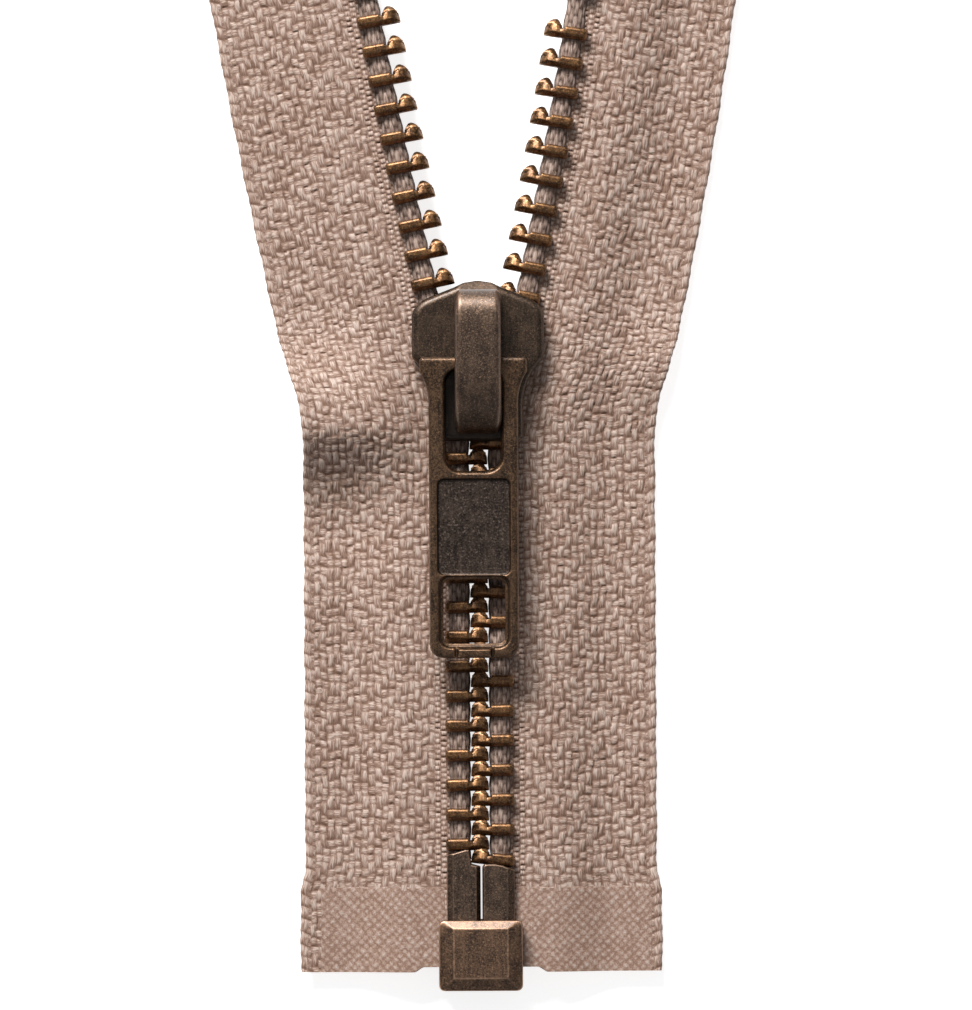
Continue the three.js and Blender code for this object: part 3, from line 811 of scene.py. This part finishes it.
def make_pull(frame_metal, panel_metal):
    """A bar with a loop for the bridge, a sunken panel, a window and a raised land at its end."""
    work = bmesh.new()
    levels = [(-0.65, 0.3), (-0.56, 0.12), (-0.4, 0), (0.3, 0), (0.5, 0.06), (0.61, 0.18), (0.65, 0.34)]
    add_prism(work, pull_outline(), levels)
    land = rounded(1.35, 24.86, 25.98, 0.1, 2)
    add_prism(work, land, [(0, 0), (0.86, 0), (1.0, 0.12)])
    cuts = bmesh.new()
    upper = rounded(2.3, 40.33, 48.75, 1.25)
    lower = rounded(2.56, 26.0, 31.33, 0.6)
    add_prism(cuts, upper, [(-1, 0), (0.2, 0), (0.5, -0.1), (0.68, -0.28), (1, -0.4)])
    add_prism(cuts, lower, [(-1, 0), (0.15, 0), (0.2, -0.28), (0.45, -0.32), (0.68, -0.46), (1, -0.5)])
    half, low, high = 3.0, 31.72, 39.67
    panel = rounded(half, low, high, 0.5)
    add_prism(cuts, panel, [(0.4, 0.08), (0.46, 0), (0.6, -0.03), (0.68, -0.1), (1, -0.2)])
    # a groove on each side of the land
    for x in (-1.52, 1.52):
        add_hull(cuts, box_points(x - 0.12, x + 0.12, 24.6, 26.1, 0.42, 1.2))
    mesh = cast("pull_frame", work, cuts, voxel=0.06, soften=4, faces=150000)
    turn = Matrix.Rotation(PULL["tilt"], 4, "X")
    at = Matrix.Translation((PULL["x"], PULL["y"], PULL["z"])) @ turn
    at = at @ Matrix.Translation((0, -PULL["y"], 0))
    obj = solid("pull_frame", mesh, frame_metal, at)
    obj.data.materials.append(panel_metal)
    place = at.inverted()
    for face in obj.data.polygons:
        p = place @ (Vector(face.center) / MM)
        inside = abs(p.x) < half + 0.02 and low - 0.02 < p.y < high + 0.02
        if inside and 0.3 < p.z < 0.47:
            face.material_index = 1
    return obj


# ---- materials ----


def srgb(r, g, b):
    """Linear colour of 8-bit sRGB values."""
    made = [c / 255 for c in (r, g, b)]
    return [c / 12.92 if c < 0.04045 else ((c + 0.055) / 1.055) ** 2.4 for c in made] + [1]


class Nodes:
    """Short calls for building the node tree of a material or world."""

    def __init__(self, owner):
        self.owner = owner
        owner.use_nodes = True
        self.tree = owner.node_tree

    def set(self, socket, value):
        if isinstance(value, bpy.types.NodeSocket):
            self.tree.links.new(value, socket)
        else:
            socket.default_value = value

    def add(self, kind, inputs=(), **settings):
        made = self.tree.nodes.new("ShaderNode" + kind)
        for key, value in settings.items():
            setattr(made, key, value)
        for key, value in dict(inputs).items():
            self.set(made.inputs[key], value)
        return made

    def math(self, operation, a, b=0.0, c=0.0, clamp=False):
        made = self.add("Math", {0: a, 1: b, 2: c}, operation=operation, use_clamp=clamp)
        return made.outputs[0]

    def scale(self, vector, factors):
        made = self.add("VectorMath", {0: vector, 1: factors}, operation="MULTIPLY")
        return made.outputs[0]

    def place(self):
        """The place on the object, in mm."""
        return self.scale(self.add("TexCoord").outputs["Object"], (1 / MM,) * 3)

    def mark(self, name):
        """The three parts of a mark on the mesh."""
        vector = self.add("Attribute", attribute_name=name).outputs["Vector"]
        return self.add("SeparateXYZ", {0: vector}).outputs

    def noise(self, vector, scale, detail=2.0, rough=0.5):
        inputs = {"Vector": vector, "Scale": scale, "Detail": detail, "Roughness": rough}
        return self.add("TexNoise", inputs).outputs["Fac"]

    def ramp(self, value, stops):
        made = self.add("ValToRGB", {"Fac": value})
        while len(made.color_ramp.elements) < len(stops):
            made.color_ramp.elements.new(0.5)
        for element, (at, colour) in zip(made.color_ramp.elements, stops):
            element.position, element.color = at, colour
        return made.outputs["Color"]

    def level(self, value, low, high, to_low=0.0, to_high=1.0):
        inputs = {"Value": value, "From Min": low, "From Max": high, "To Min": to_low, "To Max": to_high}
        return self.add("MapRange", inputs).outputs[0]

    def mix(self, share, a, b):
        made = self.add("Mix", data_type="RGBA")
        for socket, value in ((0, share), (6, a), (7, b)):
            self.set(made.inputs[socket], value)
        return made.outputs[2]

    def finish(self, colour, roughness, height=None, bump=0.0, depth=0.0, **constants):
        shader = self.tree.nodes["Principled BSDF"]
        self.set(shader.inputs["Base Color"], colour)
        self.set(shader.inputs["Roughness"], roughness)
        if height is not None:
            inputs = {"Height": height, "Strength": bump, "Distance": depth}
            self.set(shader.inputs["Normal"], self.add("Bump", inputs).outputs["Normal"])
        for key, value in constants.items():
            shader.inputs[key.replace("_", " ")].default_value = value
        return self.owner


def cloth_material(name, dark, body, light, gloss=0.3):
    """Yarns with fine filaments along them, with painted shade between them and painted highlights on
    their crowns.
    """
    n = Nodes(bpy.data.materials.new(name))
    out, along, tone = n.mark("thread")
    warp, crown, upward = n.mark("lie")
    seed = n.math("MULTIPLY", tone, 40)

    def stretched(out_scale, along_scale):
        parts = n.math("MULTIPLY", out, out_scale), n.math("MULTIPLY", along, along_scale), seed
        return n.add("CombineXYZ", enumerate(parts)).outputs[0]

    place = n.mix(warp, stretched(1.8, 9), stretched(9, 1.3))
    filament = n.noise(place, 1.0, 3, 0.6)
    patch = n.noise(n.place(), 0.35, 3)
    # painted shade between the yarns, where the crown is low, and painted highlight on their crowns
    level = n.math("MULTIPLY_ADD", crown, 0.75, n.math("MULTIPLY_ADD", filament, 2.5, -1.25))
    level = n.math("MULTIPLY_ADD", tone, 0.1, level)
    # painted light: each yarn's upper end (upward) is lighter and its lower end darker, as lit by the key
    # lamp at +Y
    level = n.math("MULTIPLY_ADD", upward, 0.22, level)
    level = n.math("ADD", level, n.math("MULTIPLY_ADD", patch, 0.14, -0.07))
    colour = n.ramp(level, [(0.0, dark), (0.5, body), (1.05, light)])
    rough = n.level(filament, 0.3, 0.7, 0.72, 0.52)
    sheen = {"Sheen_Weight": 0.15, "Sheen_Roughness": 0.4}
    return n.finish(colour, rough, filament, 0.55, 0.00004, Specular_IOR_Level=gloss, **sheen)


def patch_material():
    """The film: domes painted pale grey towards their crowns as painted highlights, on a browner ground,
    finely mottled and slightly glossy.
    """
    n = Nodes(bpy.data.materials.new("fused_patch"))
    tone = n.mark("thread")[2]
    dome = n.mark("lie")[1]
    place = n.place()
    cloud = n.noise(place, 0.7, 3)
    fine = n.noise(place, 8.0, 2)
    stops = [(0.0, srgb(127, 99, 83)), (0.28, srgb(150, 123, 108)), (0.55, srgb(161, 138, 125))]
    mottled = n.math("MULTIPLY_ADD", tone, 0.1, n.level(fine, 0.3, 0.7, -0.34, 0.34))
    # painted highlight: the higher a dome, the paler and greyer its colour
    colour = n.ramp(n.math("ADD", dome, mottled), stops + [(0.95, srgb(182, 168, 159))])
    wash = n.level(n.math("MULTIPLY_ADD", tone, 0.12, cloud), 0.3, 0.75, 0.0, 0.12)
    colour = n.mix(wash, colour, srgb(143, 121, 108))
    rough = n.level(fine, 0.3, 0.7, 0.36, 0.52)
    resin = {"Specular_IOR_Level": 0.45, "Coat_Weight": 0.12, "Coat_Roughness": 0.3}
    return n.finish(colour, rough, fine, 0.25, 0.00003, **resin)


def metal_material(name, colours, grain, bump, rough, wear, coat=0.4, worn=(0.15, 0.9)):
    """Blackened brass: mottled brown, rubbed bare on its edges, fine grain all over, near black in its
    recesses and in painted shade.
    The colours are of its dark places, its body and its bare places."""
    n = Nodes(bpy.data.materials.new(name))
    dark, body, bare = [srgb(*colour) for colour in colours]
    shift = n.math("MULTIPLY", n.add("ObjectInfo").outputs["Random"], 60)
    spot = n.add("VectorMath", {0: n.place(), 1: shift}, operation="ADD").outputs[0]
    streak = n.noise(n.scale(spot, (2.2, 0.25, 1)), 1.0, 3, 0.6)
    cloud = n.noise(spot, 0.7, 4, 0.65)
    fleck = n.noise(spot, 5.0, 4, 0.7)
    dust = n.noise(spot, grain, 2, 0.6)
    proud = n.add("Attribute", attribute_name="wear").outputs["Fac"]
    edge = n.level(proud, *worn)
    hollow_and_shaded = n.level(proud, -0.1, -0.7)
    stain = n.math("MULTIPLY_ADD", cloud, 0.5, n.math("MULTIPLY", streak, 0.4))
    grit = n.math("MULTIPLY_ADD", fleck, 0.6, n.math("MULTIPLY", dust, 0.7))
    tint = n.level(n.math("ADD", grit, stain), 0.95, 1.25)
    colour = n.mix(tint, dark, body)
    fine = n.math("MULTIPLY_ADD", fleck, 0.5, n.math("MULTIPLY", dust, 0.5))
    colour = n.mix(n.level(fine, 0.55, 0.68, 0.0, 0.55), colour, bare)
    rubbed = n.math("MULTIPLY", edge, n.level(cloud, 0.3, 0.6, 0.45 * wear, wear), clamp=True)
    colour = n.mix(rubbed, colour, bare)
    # near black where the wear is below 0: blackening in recesses, and painted shade where a piece pushes
    # its wear down
    grime_and_shade_colour = [c * 0.25 for c in dark[:3]] + [1]
    colour = n.mix(n.math("MULTIPLY", hollow_and_shaded, 0.75), colour, grime_and_shade_colour)
    shine = n.level(fine, 0.35, 0.65, *rough)
    lacquer = {"Coat_Weight": coat, "Coat_Roughness": 0.32}
    return n.finish(colour, shine, dust, bump, 0.00003, Metallic=1.0, **lacquer)


cloth_look = cloth_material("woven_tape", srgb(109, 81, 65), srgb(138, 111, 96), srgb(184, 165, 153))
cord_look = cloth_material("woven_cord", srgb(66, 50, 42), srgb(118, 97, 86), srgb(168, 148, 136), 0.25)
patch_look = patch_material()
tooth_look = metal_material(
    "tooth_metal", ((64, 42, 26), (136, 98, 62), (196, 146, 100)),
    grain=9, bump=0.2, rough=(0.36, 0.52), wear=0.8,
)
bronze_look = metal_material(
    "bronze_metal", ((44, 35, 28), (88, 71, 57), (146, 110, 82)),
    grain=9, bump=0.5, rough=(0.42, 0.56), wear=0.5,
)
pin_look = metal_material(
    "pin_metal", ((56, 45, 38), (105, 85, 70), (190, 154, 128)),
    grain=9, bump=0.4, rough=(0.42, 0.56), wear=0.9, worn=(0.08, 0.6),
)
box_look = metal_material(
    "box_metal", ((62, 45, 34), (128, 98, 75), (196, 156, 126)),
    grain=8, bump=0.4, rough=(0.42, 0.58), wear=1.0, coat=0.7, worn=(0.05, 0.45),
)
pull_look = metal_material(
    "pull_metal", ((47, 35, 26), (110, 84, 62), (164, 122, 88)),
    grain=9, bump=0.45, rough=(0.4, 0.54), wear=0.7,
)
panel_look = metal_material(
    "panel_metal", ((40, 33, 29), (82, 69, 61), (146, 132, 122)),
    grain=7, bump=1.3, rough=(0.46, 0.64), wear=0.3, coat=0.2,
)
spring_look = metal_material(
    "spring_metal", ((96, 90, 82), (128, 120, 110), (170, 160, 148)),
    grain=14, bump=0.15, rough=(0.3, 0.42), wear=0.6, coat=0.2,
)


# ---- the chain ----

STEP = 0.09  # of the grids of cloth
CORD_STEP = 0.1
FIRST_UPPER = 15  # from this tooth on, the teeth ride on the arm
SHOWN_LOW, COVERED = 7, 12  # teeth below the pull, then those under it or in the slider
TOOTH_PIVOT = 1.2  # how far out a tooth turns when it stands askew

right_tooth = tooth_mesh("cast_tooth_right")
left_tooth = right_tooth.copy()
left_tooth.name = "cast_tooth_left"
left_tooth.transform(Matrix.Scale(-1, 4, (1, 0, 0)))
tooth_shapes = {"right": right_tooth, "left": left_tooth}
for mesh in tooth_shapes.values():
    finish_mesh(mesh)
    mesh.materials.append(tooth_look)

lean = np.random.default_rng(3).uniform(-1, 1, (2, TEETH, 2))


def add_tooth(side, k):
    spread = SPREAD * min(1, max(0, (k - SPREAD_AFTER) / SPREAD_OVER))
    along = FIRST_TOOTH[side] + k * PITCH + spread
    x, y = on_path(side, 0.0, along, 0.0)
    sign = SIDES[side]
    tilt = 0.02 * lean[0 if side == "left" else 1, k, 0]
    if side == "right" and k == 0:
        tilt = -0.10
    obj = add_object(f"cast_tooth_{side}_{k + 1:02d}", tooth_shapes[side])
    pivot = Matrix.Translation((sign * TOOTH_PIVOT * MM, 0, 0))
    spin = Matrix.Rotation(sign * tilt, 4, "Z")
    turn = Matrix.Rotation(-sign * float(arm_angle(side, along)), 4, "Z")
    place = Matrix.Translation((float(x) * MM, float(y) * MM, MID_Z * MM))
    obj.matrix_world = place @ turn @ pivot @ spin @ pivot.inverted()
    body = "lower_ends" if k == 0 else f"{side}_middle" if k < FIRST_UPPER else f"{side}_upper"
    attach(obj, body)
    if k < SHOWN_LOW or k >= SHOWN_LOW + COVERED:
        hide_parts(f"{side}_tooth_{k + 1:02d}")
    elif k < FIRST_UPPER:
        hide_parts(f"{side}_chain_under_pull")
    else:
        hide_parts(f"{side}_chain_in_slider")


for side in SIDES:
    for k in range(TEETH):
        add_tooth(side, k)

    low_cord = make_cord(side, "lower", CORD_START[side], BEND_START, CORD_STEP)
    high_cord = make_cord(side, "upper", BEND_START, END, CORD_STEP)
    low_tape = make_tape(side, "lower", TAPE_TAIL, BEND_START, STEP)
    high_tape = make_tape(side, "upper", BEND_START, END, STEP)
    patch = make_film(side, STEP)
    for piece, look, slot in (
        (low_cord, cord_look, "cord"),
        (high_cord, cord_look, "cord"),
        (low_tape, cloth_look, "tape"),
        (high_tape, cloth_look, "tape"),
        (patch, patch_look, "film"),
    ):
        piece.data.materials.append(look)
    for piece in (low_cord, low_tape):
        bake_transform(piece)
    for piece in (high_cord, high_tape):
        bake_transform(piece)
    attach(patch, "lower_ends")
    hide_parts(f"{side}_cord_middle")
    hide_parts(f"{side}_cord_upper")
    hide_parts(f"{side}_tape_end", f"{side}_tape_middle")
    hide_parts(f"{side}_tape_upper")
    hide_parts(f"{side}_film")

    stop = make_top_stop(side, bronze_look)
    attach(stop, f"{side}_upper")
    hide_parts(f"{side}_top_stop")


# ---- box, pins, slider, pull ----

box = make_box(box_look)
left_pin = make_pin(
    "fixed_pin",
    [(-2.78, -2), (0.0, -2), (0.0, 7.4), (-0.75, 7.6), (-0.95, 8.82), (-1.25, 8.84), (-2.78, 8.38)],
    ((-2.78, 0.5, 0.36), (0.0, -0.36, 0.5)),
    pin_look,
)
right_pin = make_pin(
    "free_pin",
    [(0.14, -2), (2.82, -2), (2.82, 7.1), (1.9, 7.5), (1.2, 7.64), (0.36, 7.62), (0.14, 7.35)],
    ((2.82, -0.56, 0.4), (0.14, 0.16, 0.14)),
    pin_look,
)
slider, wedge = make_slider(bronze_look)
bridge = make_bridge(pin_look)
lever = make_lever(spring_look)
pull = make_pull(pull_look, panel_look)

for piece, body, node in (
    (box, "lower_ends", "box"),
    (left_pin, "lower_ends", "box_pin"),
    (right_pin, "lower_ends", "insertion_pin"),
    (slider, "slider", "slider_body"),
    (wedge, "slider", "slider_body"),
    (bridge, "slider", "bridge"),
    (lever, "lever", "locking_lever"),
    (pull, "pull", "pull"),
):
    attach(piece, body)
    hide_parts(node)


# ---- floor, light, camera ----


def make_floor():
    mesh = bpy.data.meshes.new("floor")
    half = 1.5
    corners = [(-half, -half, 0), (half, -half, 0), (half, half, 0), (-half, half, 0)]
    mesh.from_pydata(corners, [], [(0, 1, 2, 3)])
    n = Nodes(bpy.data.materials.new("floor"))
    glow = {"Emission_Color": (1, 1, 1, 1), "Emission_Strength": 0.78, "Specular_IOR_Level": 0.1}
    cloud = n.noise(n.add("TexCoord").outputs["Object"], 3.0)
    colour = n.ramp(cloud, [(0.3, (0.62, 0.62, 0.62, 1)), (0.7, (0.64, 0.64, 0.64, 1))])
    floor = add_object("floor", mesh, n.finish(colour, 0.9, **glow))
    floor.location.z = -0.0002


def add_light(name, place, size, power):
    light = bpy.data.lights.new(name, "AREA")
    light.shape, light.size, light.size_y, light.energy = "RECTANGLE", size[0], size[1], power
    obj = add_object(name, light)
    obj.location = place
    aim = Vector((0, 0.037, 0)) - Vector(place)  # at the middle of the chain
    obj.rotation_euler = aim.to_track_quat("-Z", "Y").to_euler()
    obj.visible_camera = False


def make_world():
    """A plain room: brightest overhead and behind the top of the picture, dim at the sides."""
    world = bpy.data.worlds.new("studio")
    bpy.context.scene.world = world
    n = Nodes(world)
    _, y, z = n.add("SeparateXYZ", {0: n.add("TexCoord").outputs["Generated"]}).outputs
    behind = n.math("MULTIPLY_ADD", n.math("MAXIMUM", y, 0.0), 0.25, 0.085)
    level = n.math("MULTIPLY_ADD", n.math("MULTIPLY", z, z), 0.28, behind)
    camera_ray = n.add("LightPath").outputs["Is Camera Ray"]
    seen = n.add("Mix", {0: camera_ray, 2: level, 3: 0.95})
    background = n.tree.nodes["Background"]
    background.inputs["Color"].default_value = (0.97, 0.98, 1.0, 1)
    n.set(background.inputs["Strength"], seen.outputs[0])


make_floor()
add_light("key", (-0.3, 0.9, 0.66), (0.5, 0.34), 25.0)
add_light("fill", (0.2, -0.9, 0.9), (0.9, 0.4), 0.5)
make_world()
bpy.context.scene.view_settings.view_transform = "Standard"

VIEW_HEIGHT = 84.17 * MM  # of the scene, from the top to the bottom of the image
VIEW_CENTRE = (0.61 * MM, 37.5 * MM)
DISTANCE = 0.9
ROLL = -0.0052
camera = bpy.data.cameras.new("camera")
camera.sensor_width = 36
camera.lens = camera.sensor_width * DISTANCE / VIEW_HEIGHT
camera.clip_start, camera.clip_end = 0.05, 10
camera_object = add_object("camera", camera)
camera_object.location = (*VIEW_CENTRE, DISTANCE + MID_Z * MM)
camera_object.rotation_euler = (0, 0, ROLL)
bpy.context.scene.camera = camera_object
